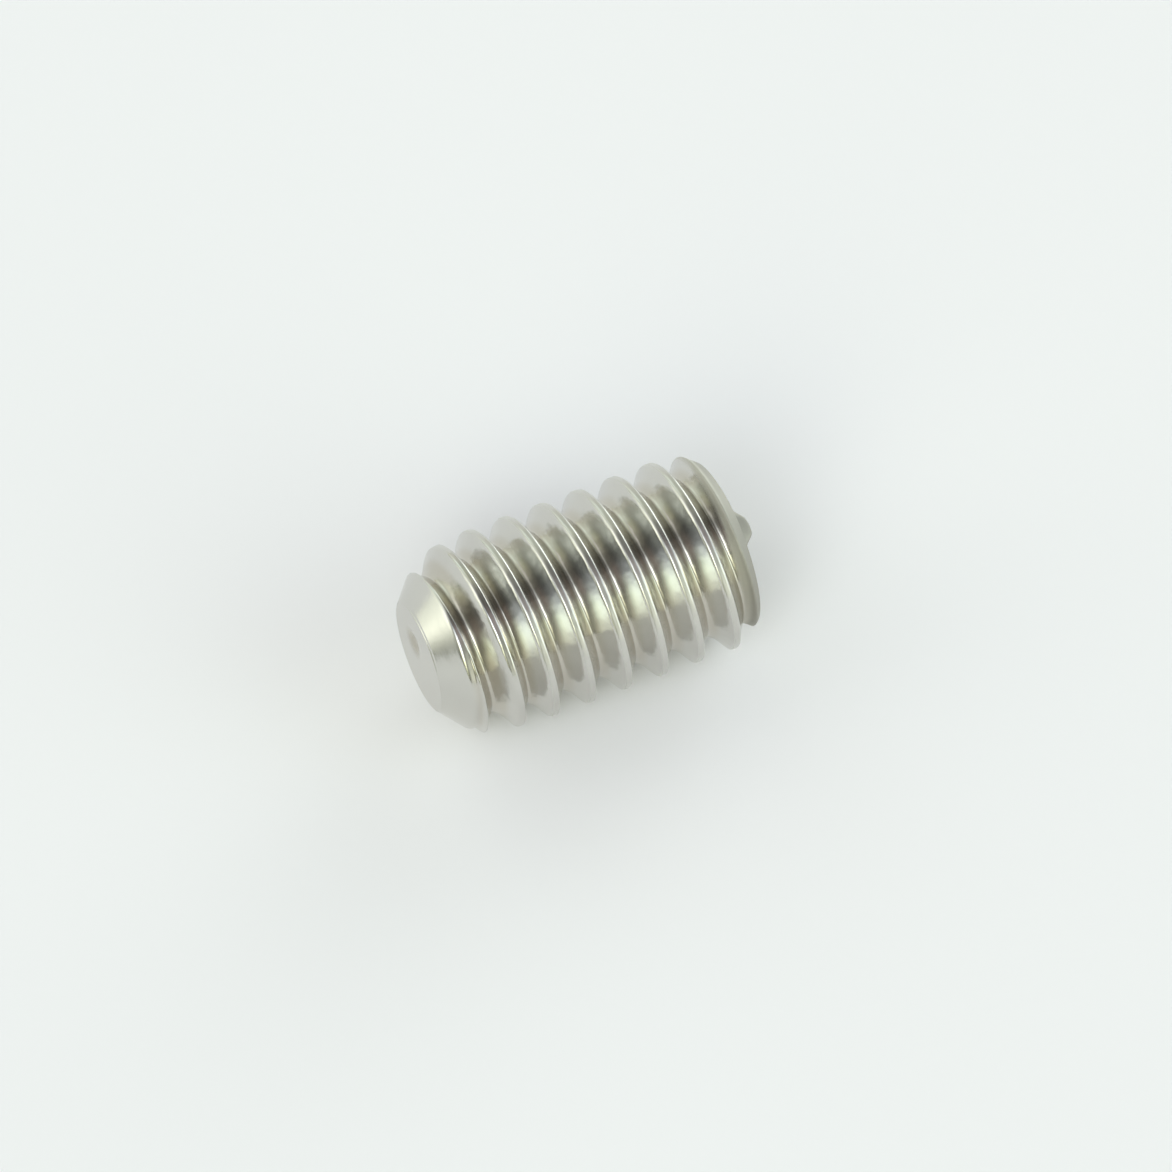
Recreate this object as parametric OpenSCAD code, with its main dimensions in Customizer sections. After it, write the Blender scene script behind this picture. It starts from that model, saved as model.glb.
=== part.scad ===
// Socket set screw (grub screw): a headless machine screw, turned from bar.
// The screw lies on its side along +X. The origin is on the screw's axis, in
// the middle of the flat point. The thread's crests are at thread_d; its
// groove isn't cut here, so the threaded length is a plain cylinder.

/* [Body] */
// Outside diameter over the thread's crests
thread_d = 2.75; // [2.70:0.01:2.80]
// Length between the two end faces, without the burr
body_len = 4.51; // [3.50:0.01:12.70]
// Turn of the screw about its own axis, as it lies
lay_turn = 10; // [0:2.5:60]

/* [Flat point] */
// Diameter of the flat face at the point
point_face_d = 1.55; // [1.20:0.01:2.00]
// Diameter of the turning mark on the point
mark_d = 0.56; // [0.20:0.01:0.60]
// Depth of the turning mark
mark_depth = 0.04; // [0.01:0.01:0.10]
// How far the turning mark sits off the axis
mark_off = 0.20; // [0:0.01:0.25]
// Direction of the turning mark from the axis, in degrees from +Y towards +Z
mark_angle = 30; // [0:1:360]

/* [Drive end] */
// Diameter of the flat face at the drive end
drive_face_d = 2.28; // [2.10:0.01:2.50]
// Size of the hexagon key, across flats
key_af = 1.27; // [1.20:0.01:1.30]
// Depth of the hexagon socket's straight walls
key_depth = 1.40; // [0.90:0.05:1.80]
// Depth of the drilled cone below the socket
drill_cone = 0.36; // [0.20:0.02:0.40]
// Width of the bevel round the socket's mouth
mouth_bevel = 0.05; // [0.01:0.01:0.10]

/* [Burr] */
// How far the burr on the drive end's rim stands out of the face
burr_h = 0.14; // [0.02:0.01:0.30]
// Length of the burr along the rim
burr_w = 0.50; // [0.10:0.02:0.70]
// Thickness of the burr, across the rim
burr_t = 0.22; // [0.10:0.01:0.25]
// Direction of the burr from the axis, in degrees from +Y towards +Z
burr_angle = 114; // [0:1:360]

/* [Hidden] */
$fn = 96;
// Both end chamfers are at 45 degrees, so each is as long as it is deep.
point_chamfer = (thread_d - point_face_d) / 2;
drive_chamfer = (thread_d - drive_face_d) / 2;
// The hexagon's circumscribed radius
key_r = key_af / 2 / cos(30);
// The hole drilled before the hexagon is pressed in, as wide as its flats
drill_r = key_af / 2;
// The burr's outer side stands just inside the face's edge
burr_out = drive_face_d / 2 - 0.01;
over = 0.2;

// Turned blank: chamfer, plain cylinder at the crest diameter, chamfer
module blank() {
    rotate([0, 90, 0])
        rotate_extrude()
            polygon([
                [0, 0],
                [point_face_d / 2, 0],
                [thread_d / 2, point_chamfer],
                [thread_d / 2, body_len - drive_chamfer],
                [drive_face_d / 2, body_len],
                [0, body_len]
            ]);
}

// Shallow mark that the tool left on the flat point
module turning_mark() {
    translate([-over, mark_off, 0])
        rotate([0, 90, 0])
            cylinder(d = mark_d, h = mark_depth + over);
}

// Hexagon socket with a drilled cone at its bottom and a bevel round its mouth
module drive_socket() {
    translate([body_len, 0, 0])
        rotate([0, -90, 0]) {
            translate([0, 0, -over])
                cylinder(r = key_r, h = key_depth + over, $fn = 6);
            translate([0, 0, key_depth - 0.001])
                cylinder(r1 = drill_r, r2 = 0.02, h = drill_cone);
            translate([0, 0, -over])
                cylinder(r1 = key_r + mouth_bevel + over, r2 = key_r,
                         h = mouth_bevel + over);
        }
}

// Small raised burr on the drive end's rim
module burr() {
    translate([body_len - 0.05, burr_out - burr_t, -burr_w / 2])
        cube([burr_h + 0.05, burr_t - 0.02, burr_w]);
}

module grub_screw() {
    color([0.72, 0.72, 0.69])
        union() {
            rotate([lay_turn, 0, 0])
                difference() {
                    blank();
                    drive_socket();
                    rotate([mark_angle - lay_turn, 0, 0]) turning_mark();
                }
            rotate([burr_angle, 0, 0]) burr();
        }
}

grub_screw();
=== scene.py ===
"""Looks of a small stainless grub screw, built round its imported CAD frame."""
import math

import bpy
import numpy as np
from mathutils import Matrix, Vector


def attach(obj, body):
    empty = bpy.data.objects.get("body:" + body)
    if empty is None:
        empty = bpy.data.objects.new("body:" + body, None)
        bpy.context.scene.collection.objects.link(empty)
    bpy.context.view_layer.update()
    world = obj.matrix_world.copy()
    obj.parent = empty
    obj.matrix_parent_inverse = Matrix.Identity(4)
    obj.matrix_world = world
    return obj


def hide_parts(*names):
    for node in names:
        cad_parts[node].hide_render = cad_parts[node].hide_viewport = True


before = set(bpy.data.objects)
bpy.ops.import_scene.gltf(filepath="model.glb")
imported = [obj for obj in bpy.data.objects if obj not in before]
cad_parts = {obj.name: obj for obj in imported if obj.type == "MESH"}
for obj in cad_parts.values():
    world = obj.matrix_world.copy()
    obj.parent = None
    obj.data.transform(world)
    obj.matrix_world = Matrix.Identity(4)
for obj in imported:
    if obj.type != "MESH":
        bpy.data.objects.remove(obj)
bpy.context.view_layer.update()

scene = bpy.context.scene
MM = 0.001

# ---------------------------------------------------------------- dimensions
# Millimetres, as in the part's source.
R = 1.375                          # radius over the crests
L = 4.51                           # length between the two end faces
PITCH = 0.53                       # No. 6 BA pitch
R_NEAR = 0.775                     # flat point's face radius
R_FAR = 1.14                      # drive end's face radius
MARK_R, MARK_DEPTH = 0.28, 0.034   # turning mark on the flat point
MARK_OFF, MARK_ANGLE = 0.20, math.radians(30)
KEY_AF = 1.27
KEY_DEPTH = 1.40
DRILL_CONE = 0.36
LAY_TURN = math.radians(10)
BURR_H, BURR_W = 0.137, 0.50       # burr on the drive end's rim
BURR_ANGLE = math.radians(114)
BURR_IN, BURR_OUT = 0.93, 1.132
SLANT = 0.030                      # how far the drive end's face falls away at its upper edge
FLOOR_Z = -R
TH_TOP = math.radians(30.36)       # direction of the upper silhouette as the camera sees it
LATE = 0.05                        # how late the thread's first turn is
PHASE = 0.264 - TH_TOP / (2 * math.pi)   # crest at x = (PHASE + k + theta / 2 pi) * PITCH

COLS = 240                         # columns round the screw, a multiple of 6
ROWS_PER_PITCH = 34


def smin(a, b, k):
    h = np.clip(0.5 + 0.5 * (b - a) / k, 0.0, 1.0)
    return b * (1 - h) + a * h - k * h * (1 - h)


def smoothstep(lo, hi, v):
    t = np.clip((v - lo) / (hi - lo), 0.0, 1.0)
    return t * t * (3 - 2 * t)


def thread_profile(v):
    """Depth below the crest, in pitches, at v pitches past the crest line (v in 0..1).

    60 degrees between the flanks, which lean a little towards the flat point;
    narrow rounded crests and a well rounded root, as on a rolled thread.
    """
    past = (v - 0.08) / math.tan(math.radians(26))
    ahead = (1 - v - 0.08) / math.tan(math.radians(34))
    d = smin(smin(past, ahead, 0.10), np.full_like(v, 0.55), 0.30)
    return -smin(-d, np.zeros_like(v), 0.055)


def wave_sum(theta, x, seed, count, kt, kx):
    """A smooth pseudo-random field that closes round the screw."""
    rng = np.random.RandomState(seed)
    out = np.zeros(np.broadcast(theta, x).shape)
    for _ in range(count):
        m = rng.randint(0, kt + 1)
        w = rng.uniform(-kx, kx)
        ph = rng.uniform(0, 2 * math.pi)
        out += np.cos(m * theta + w * x + ph) / math.sqrt(count)
    return out


def surface_radius(theta, x):
    """Radius of the screw's threaded and chamfered outside, in mm."""
    # the first turn starts a little late, where the die ran on
    late = LATE * smoothstep(0.25, 0.50, x) * (1 - smoothstep(0.90, 1.25, x))
    v = ((x - late) / PITCH - PHASE - theta / (2 * math.pi)) % 1.0
    d = thread_profile(v) * PITCH
    u = np.where(v > 0.5, v - 1.0, v)
    # crests: faintly uneven, never proud of the nominal radius
    dull = 0.004 + 0.003 * wave_sum(theta, x, 5, 10, 22, 9.0)
    d = np.maximum(d, 0.0) + np.clip(dull, 0.0, 0.012) * np.exp(-(u / 0.12) ** 2)
    # the first turn is a low one, and the chamfer in front of it ends in a narrow land
    r_full = R - 0.045 * (1 - smoothstep(0.80, 1.25, x)) - 0.045 * (1 - smoothstep(0.50, 0.76, x))
    r = r_full - d
    near = smin(R_NEAR + 1.15 * x, 1.15 + 1.3 * np.maximum(x - 0.42, 0.0), 0.03)
    far = R_FAR + 0.83 * (L - x)
    r = smin(r, near, 0.022)
    r = smin(r, far, 0.022)
    return np.minimum(r, R)


# -------------------------------------------------------------- the one mesh
def far_face_x(y, z):
    """The drive end's face: square, but falling away a little at its upper edge."""
    t = y * math.cos(TH_TOP) + z * math.sin(TH_TOP)
    return L - SLANT * smoothstep(0.35, 1.25, t)


theta = np.arange(COLS) * 2 * math.pi / COLS
rings = []         # each ring: COLS points, from the flat point's centre to the socket's bottom


def add(x, r):
    x = np.broadcast_to(np.asarray(x, float), theta.shape)
    r = np.broadcast_to(np.asarray(r, float), theta.shape)
    rings.append(np.stack([x, r * np.cos(theta), r * np.sin(theta)], 1))


def near_face_x(y, z):
    """The flat point's turned face: a shallow mark a little off its middle."""
    d = np.hypot(y - MARK_OFF * math.cos(MARK_ANGLE), z - MARK_OFF * math.sin(MARK_ANGLE))
    return MARK_DEPTH * (1 - smoothstep(0.02, MARK_R, d))


for r in np.concatenate([np.linspace(0.012, 0.50, 24), np.linspace(0.53, R_NEAR - 0.012, 8)]):
    add(0.0, r)
    ring = rings[-1]
    ring[:, 0] = near_face_x(ring[:, 1], ring[:, 2])

# outside, from face to face; the rows close up towards the drive end where its face falls away
n_out = int(round(L / PITCH * ROWS_PER_PITCH))
for x in [0.0015, 0.005, 0.010] + list(np.linspace(0.016, L - 0.016, n_out)) + [L - 0.010, L - 0.005, L - 0.0015]:
    xr = np.full_like(theta, x)
    near_end = smoothstep(L - 0.9, L, xr)
    for _ in range(6):
        r = surface_radius(theta, xr)
        end = far_face_x(r * np.cos(theta), r * np.sin(theta))
        xr = x - (L - end) * near_end
    y = end - xr
    if x < 0.012:
        r = np.minimum(r, R_NEAR - 0.012 + math.sqrt(max(0.0, 0.024 * x - x * x)))
    if L - x < 0.012:
        r = r - 0.012 + np.sqrt(np.maximum(0.0, 0.024 * (L - x) - (L - x) ** 2))
    add(xr, r)
rim = np.hypot(rings[-1][:, 1], rings[-1][:, 2])


# hexagon outline, turned with the screw
def hexr(af):
    # corners up and down, before the turn
    tt = ((theta - LAY_TURN - math.pi / 2) % (math.pi / 3)) - math.pi / 6
    r = af / 2 / np.cos(tt)
    return smin(r, np.full_like(r, af / 2 / math.cos(math.pi / 6) - 0.006), 0.02)


hx = hexr(KEY_AF)
KEY_R = KEY_AF / 2 / math.cos(math.pi / 6)
mouth = KEY_R + 0.05               # the bevel's outer edge, round
drill = KEY_AF / 2 * 0.985


def burr_height(th, r):
    """How far the burr stands out of the drive end's face."""
    a = (th - BURR_ANGLE + math.pi) % (2 * math.pi) - math.pi
    along = a * 1.06
    rough = 0.010 * np.sin(along * 13 + 0.6) + 0.003 * np.sin(along * 31 + 2.0)
    side = 1 - smoothstep(BURR_W / 2 - 0.16, BURR_W / 2 + 0.02, np.abs(along))
    inner = smoothstep(BURR_IN, BURR_IN + 0.12, r)
    outer = 1 - smoothstep(BURR_OUT - 0.03, BURR_OUT + 0.008, r)
    return np.clip((BURR_H - 0.012 + rough) * side * inner * outer, 0.0, BURR_H)


# drive end's face, from its rim in to the bevel
for f in np.concatenate([[0.004, 0.02, 0.04, 0.065, 0.09], np.linspace(0.12, 0.62, 16), [0.7, 0.8, 0.9, 1.0]]):
    r = rim * (1 - f) + (mouth + 0.004) * f
    add(far_face_x(r * np.cos(theta), r * np.sin(theta)) + burr_height(theta, r), r)
# bevel, hexagon walls, ledge and drilled cone
for f in (0.06, 0.4, 0.75, 0.97):
    d = 0.05 * f
    r = np.maximum(mouth - d, hx)
    add(far_face_x(mouth * np.cos(theta), mouth * np.sin(theta)) - d, r)
for d in (0.06, 0.09, 0.15, 0.25, 0.4, 0.6, 0.8, 1.0, 1.2, 1.32):
    keep = max(0.0, 1 - d / 0.6)
    add(L - d - keep * (L - far_face_x(mouth * np.cos(theta), mouth * np.sin(theta))), hx)
add(L - KEY_DEPTH + 0.014, hx)
add(L - KEY_DEPTH + 0.004, np.maximum(hx - 0.012, drill + 0.007))
add(L - KEY_DEPTH, drill + 0.006)
add(L - KEY_DEPTH - 0.004, drill)
for f in (0.97, 0.8, 0.55, 0.3, 0.06):
    add(L - KEY_DEPTH - DRILL_CONE * (1 - f), drill * f)

P = np.array(rings) * MM                       # rows x COLS x 3
rows = len(P)
verts = P.reshape(-1, 3)
first = np.array([[near_face_x(0.0, 0.0), 0, 0]]) * MM
last = np.array([[L - KEY_DEPTH - DRILL_CONE, 0, 0]]) * MM
verts = np.concatenate([verts, first, last])
i0, i1 = rows * COLS, rows * COLS + 1
faces = []
for i in range(rows - 1):
    a = i * COLS
    b = a + COLS
    for j in range(COLS):
        k = (j + 1) % COLS
        faces.append((a + j, a + k, b + k, b + j))
for j in range(COLS):
    k = (j + 1) % COLS
    faces.append((i0, k, j))
    faces.append((i1, (rows - 1) * COLS + j, (rows - 1) * COLS + k))

me = bpy.data.meshes.new("grub_screw_threaded")
me.from_pydata([tuple(v) for v in verts], [], faces)
me.update()
obj = bpy.data.objects.new("grub_screw_threaded", me)
scene.collection.objects.link(obj)
import bmesh
bm = bmesh.new()
bm.from_mesh(me)
bmesh.ops.recalc_face_normals(bm, faces=bm.faces)
print("VOLUME_MM3", round(bm.calc_volume() / MM ** 3, 3))
bm.to_mesh(me)
bm.free()
me.polygons.foreach_set("use_smooth", [True] * len(me.polygons))
me.update()
print("TRIS", sum(len(p.vertices) - 2 for p in me.polygons))


# ------------------------------------------------------------------ materials
def new_material(name):
    m = bpy.data.materials.new(name)
    m.use_nodes = True
    return m, m.node_tree, m.node_tree.nodes["Principled BSDF"]


steel, nt, bsdf = new_material("stainless_steel")
nodes, links = nt.nodes, nt.links


def math_node(op, a, b=None, c=None):
    n = nodes.new("ShaderNodeMath")
    n.operation = op
    for i, v in enumerate((a, b, c)):
        if v is None:
            continue
        if isinstance(v, (int, float)):
            n.inputs[i].default_value = v
        else:
            links.new(v, n.inputs[i])
    return n.outputs[0]


def ramp01(v, lo, hi):
    """0 at lo, 1 at hi, smooth between."""
    n = nodes.new("ShaderNodeMapRange")
    n.interpolation_type = "SMOOTHSTEP"
    n.inputs["From Min"].default_value = lo
    n.inputs["From Max"].default_value = hi
    links.new(v, n.inputs["Value"])
    return n.outputs["Result"]


tc = nodes.new("ShaderNodeTexCoord")
sep = nodes.new("ShaderNodeSeparateXYZ")
links.new(tc.outputs["Object"], sep.inputs[0])
px = math_node("MULTIPLY", sep.outputs["X"], 1000.0)
py = math_node("MULTIPLY", sep.outputs["Y"], 1000.0)
pz = math_node("MULTIPLY", sep.outputs["Z"], 1000.0)
pr = math_node("SQRT", math_node("ADD", math_node("MULTIPLY", py, py), math_node("MULTIPLY", pz, pz)))

def vector(x, y, z):
    n = nodes.new("ShaderNodeCombineXYZ")
    for i, v in enumerate((x, y, z)):
        links.new(v, n.inputs[i])
    return n.outputs[0]


def noise(vec, scale, detail=2.0, rough=0.5):
    n = nodes.new("ShaderNodeTexNoise")
    n.inputs["Scale"].default_value = scale
    n.inputs["Detail"].default_value = detail
    n.inputs["Roughness"].default_value = rough
    links.new(vec, n.inputs["Vector"])
    return n.outputs["Fac"]


def scaled(v, k):
    return math_node("MULTIPLY", v, k)


def mixed(fac, a, b):
    n = nodes.new("ShaderNodeMix")
    n.data_type = "RGBA"
    links.new(fac, n.inputs["Factor"])
    for key, v in (("A", a), ("B", b)):
        if isinstance(v, tuple):
            n.inputs[key].default_value = (*v, 1)
        else:
            links.new(v, n.inputs[key])
    return n.outputs["Result"]


spot = vector(px, py, pz)
# zones
crest = ramp01(pr, R - 0.020, R - 0.008)             # worn tops of the thread
groove = ramp01(pr, R - 0.16, R - 0.27)              # bottom of the groove
threaded = math_node("MULTIPLY", ramp01(px, 0.30, 0.42), ramp01(px, L - 0.02, L - 0.10))
groove = math_node("MULTIPLY", groove, threaded)
socket = math_node("MULTIPLY", ramp01(pr, 0.84, 0.80), ramp01(px, 2.0, 2.3))
dull = math_node("MULTIPLY", ramp01(px, L - 0.25, L - 0.19), ramp01(pr, 0.70, 0.78))   # drive end, burr and all
my = math_node("SUBTRACT", py, MARK_OFF * math.cos(MARK_ANGLE))
mz = math_node("SUBTRACT", pz, MARK_OFF * math.sin(MARK_ANGLE))
md = math_node("SQRT", math_node("ADD", math_node("MULTIPLY", my, my), math_node("MULTIPLY", mz, mz)))
mark = math_node("MULTIPLY", ramp01(md, MARK_R, 0.08), ramp01(px, 0.06, 0.05))

# fine lines: round the axis on the thread, concentric on the turned ends, lengthwise in the socket
thread_lines = noise(vector(scaled(px, 15.0), scaled(py, 0.9), scaled(pz, 0.9)), 1.0, 3.0, 0.6)
ring_lines = noise(vector(scaled(pr, 20.0), scaled(px, 4.0), scaled(px, 1.0)), 1.0, 3.0, 0.6)
broach_lines = noise(vector(scaled(px, 0.7), scaled(py, 16.0), scaled(pz, 16.0)), 1.0, 3.0, 0.6)
turned = math_node("SUBTRACT", 1.0, threaded)


def choose(fac, a, b):
    """a where fac is 0, b where it is 1."""
    return math_node("ADD", math_node("MULTIPLY", a, math_node("SUBTRACT", 1.0, fac)), math_node("MULTIPLY", b, fac))


lines = choose(socket, choose(turned, thread_lines, ring_lines), broach_lines)
grain = noise(spot, 26.0, 3.0, 0.6)                   # pickled, faintly granular surface
cloud = noise(spot, 2.2, 3.0, 0.55)                   # broad unevenness
dents = noise(spot, 6.5, 1.0, 0.4)
lines = math_node("MULTIPLY", lines, choose(turned, 0.9, 0.3))
height = math_node("ADD", lines, math_node("ADD", scaled(grain, 0.35), math_node("MULTIPLY", dents, choose(turned, 5.0, 1.2))))
bump = nodes.new("ShaderNodeBump")
bump.inputs["Strength"].default_value = 1.0
bump.inputs["Distance"].default_value = 0.0000011
links.new(height, bump.inputs["Height"])
links.new(bump.outputs[0], bsdf.inputs["Normal"])

# roughness
rough = math_node("ADD", 0.13, math_node("MULTIPLY", cloud, 0.10))
rough = math_node("ADD", rough, math_node("MULTIPLY", crest, 0.12))
rough = math_node("ADD", rough, math_node("MULTIPLY", groove, 0.03))
rough = math_node("ADD", rough, math_node("MULTIPLY", socket, 0.12))
rough = math_node("ADD", rough, math_node("MULTIPLY", dull, 0.42))
rough = math_node("ADD", rough, math_node("MULTIPLY", mark, 0.15))
rough = math_node("ADD", rough, math_node("MULTIPLY", math_node("SUBTRACT", grain, 0.5), 0.06))
links.new(rough, bsdf.inputs["Roughness"])

# colour: nickel grey, a little browner and duller down in the groove, which is painted shade
tone = mixed(cloud, (0.60, 0.585, 0.55), (0.655, 0.645, 0.605))
tone = mixed(scaled(groove, 0.45), tone, (0.47, 0.42, 0.33))
# the socket walls are painted a darker grey: painted shade inside the recess
tone = mixed(scaled(socket, 0.35), tone, (0.45, 0.43, 0.39))
end_tone = mixed(ramp01(px, L - 0.17, L - 0.10), (0.53, 0.51, 0.46), (0.37, 0.355, 0.315))
tone = mixed(scaled(dull, 0.9), tone, end_tone)
tone = mixed(scaled(mark, 0.5), tone, (0.42, 0.37, 0.28))
links.new(tone, bsdf.inputs["Base Color"])
bsdf.inputs["Metallic"].default_value = 1.0
obj.data.materials.append(steel)

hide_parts("grub_screw")
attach(obj, "root")

# ---------------------------------------------------------------------- stage
floor_me = bpy.data.meshes.new("floor")
s = 0.25
floor_me.from_pydata([(-s, -s, FLOOR_Z * MM), (s, -s, FLOOR_Z * MM), (s, s, FLOOR_Z * MM), (-s, s, FLOOR_Z * MM)], [], [(0, 1, 2, 3)])
floor = bpy.data.objects.new("floor", floor_me)
scene.collection.objects.link(floor)
fmat, fnt, fb = new_material("floor_paper")
fb.inputs["Base Color"].default_value = (0.945, 0.925, 0.965, 1)
fb.inputs["Roughness"].default_value = 0.9
floor_me.materials.append(fmat)

# ----------------------------------------------------------------- the camera
az, el = math.radians(-23.7), math.radians(57.4)
c = Vector((math.sin(az) * math.cos(el), -math.cos(az) * math.cos(el), math.sin(el)))
right = Vector((math.cos(az), math.sin(az), 0))
up = right.cross(c) * -1
up = c.cross(right)
PX = 74.44                                     # pixels per millimetre in a 1172 pixel frame
mid = Vector((2.30, 0, 0))
target = (mid + right * (10.2 / PX) + up * (12.7 / PX)) * MM
cam_data = bpy.data.cameras.new("camera")
cam_data.sensor_width = 36.0
cam_data.lens = 600.0
dist = (1172 / PX) * MM * cam_data.lens / 36.0
cam = bpy.data.objects.new("camera", cam_data)
scene.collection.objects.link(cam)
cam.matrix_world = Matrix((
    (right.x, up.x, c.x, target.x + c.x * dist),
    (right.y, up.y, c.y, target.y + c.y * dist),
    (right.z, up.z, c.z, target.z + c.z * dist),
    (0, 0, 0, 1)))
cam_data.clip_start = 0.001
cam_data.clip_end = 1.0
scene.camera = cam

# --------------------------------------------------------------------- lights
world = bpy.data.worlds.new("world")
scene.world = world
world.use_nodes = True
wt = world.node_tree
bg = wt.nodes["Background"]


coord = wt.nodes.new("ShaderNodeTexCoord")
total = None


def soft_light(az_deg, el_deg, sharpness, colour):
    """Add a round soft light; azimuth 0 is the front, 90 the drive end's side."""
    global total
    a, e = math.radians(az_deg), math.radians(el_deg)
    dot = wt.nodes.new("ShaderNodeVectorMath")
    dot.operation = "DOT_PRODUCT"
    dot.inputs[1].default_value = (math.sin(a) * math.cos(e), -math.cos(a) * math.cos(e), math.sin(e))
    wt.links.new(coord.outputs["Generated"], dot.inputs[0])
    m = wt.nodes.new("ShaderNodeMath")
    m.operation = "MULTIPLY_ADD"
    m.inputs[1].default_value = sharpness
    m.inputs[2].default_value = -sharpness
    wt.links.new(dot.outputs["Value"], m.inputs[0])
    x = wt.nodes.new("ShaderNodeMath")
    x.operation = "EXPONENT"
    wt.links.new(m.outputs[0], x.inputs[0])
    v = wt.nodes.new("ShaderNodeVectorMath")
    v.operation = "SCALE"
    v.inputs[0].default_value = colour
    wt.links.new(x.outputs[0], v.inputs["Scale"])
    if total is None:
        total = v.outputs[0]
        return
    add_ = wt.nodes.new("ShaderNodeVectorMath")
    add_.operation = "ADD"
    wt.links.new(total, add_.inputs[0])
    wt.links.new(v.outputs[0], add_.inputs[1])
    total = add_.outputs[0]


# a room with windows low all round, a softbox high on the left and an unlit ceiling
soft_light(30, 5, 6, (1.25, 1.30, 1.10))       # front right, low and wide
soft_light(45, 27, 24, (0.70, 0.92, 0.50))     # front right, warm
soft_light(60, 25, 12, (1.46, 1.62, 1.88))     # front right window
soft_light(120, 5, 12, (3.90, 4.20, 4.00))     # right-hand window
soft_light(135, 27, 24, (0.77, 0.86, 0.83))    # its upper part
soft_light(180, 5, 12, (0.74, 0.74, 0.65))     # back wall
soft_light(195, 27, 24, (0.70, 0.86, 0.85))    # back wall, higher
soft_light(180, 47, 24, (0.48, 0.50, 0.34))    # back wall, top
soft_light(195, 62, 12, (0.37, 0.37, 0.35))    # dim panel over the back
soft_light(240, 5, 6, (1.20, 1.26, 1.10))      # left back window
soft_light(257, 18, 45, (1.10, 1.12, 0.95))     # lamp in it
soft_light(315, 27, 24, (2.64, 2.75, 1.88))    # front left, warm
soft_light(315, 47, 24, (2.90, 3.12, 3.40))    # front left softbox, high
soft_light(30, 67, 24, (0.33, 0.26, 0.26))     # dim panel over the front
soft_light(245, 42, 24, (0.78, 0.80, 0.83))    # lamp high on the left, towards the back
wt.links.new(total, bg.inputs["Color"])
bg.inputs["Strength"].default_value = 1.04

scene.view_settings.view_transform = "Standard"
